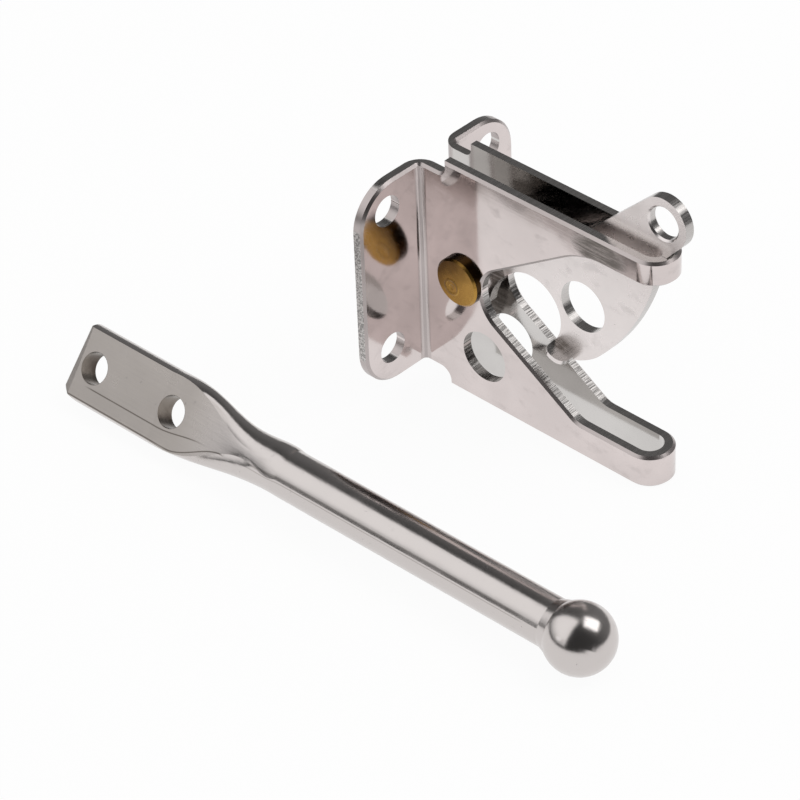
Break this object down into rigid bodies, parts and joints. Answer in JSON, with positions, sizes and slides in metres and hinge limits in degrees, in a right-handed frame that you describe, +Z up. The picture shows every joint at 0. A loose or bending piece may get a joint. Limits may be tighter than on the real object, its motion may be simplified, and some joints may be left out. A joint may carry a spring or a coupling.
{
  "type": "gate latch",
  "caption": "Folded stainless gate catch with a falling lever on a brass rivet, padlock holes and a ball-ended strike bar.",
  "frame": {"origin": "middle of the four flange screw holes, on the face that bears on the post", "axes": "+X forward out of the post, +Y across towards the far plate, +Z up"},
  "size_m": [0.1629, 0.0986, 0.0794],
  "materials": {
    "polished_steel": "polished",
    "lever_steel": "polished",
    "brass": "satin",
    "spacer_steel": "satin",
    "bar_steel": "polished"
  },
  "bodies": {
    "catch": {"bracket": "polished_steel", "pivot_rivet": "brass", "spacer_near": "spacer_steel", "spacer_far": "spacer_steel", "strike_bar": "bar_steel"},
    "lever_body": {"lever": "lever_steel"}
  },
  "joints": [
    {"name": "lever_pivot", "type": "hinge", "parent": "catch", "child": "lever_body", "pos_m": [0.015, 0, 0], "axis": [0, -1, 0], "range_deg": [0, 49.5]}
  ]
}
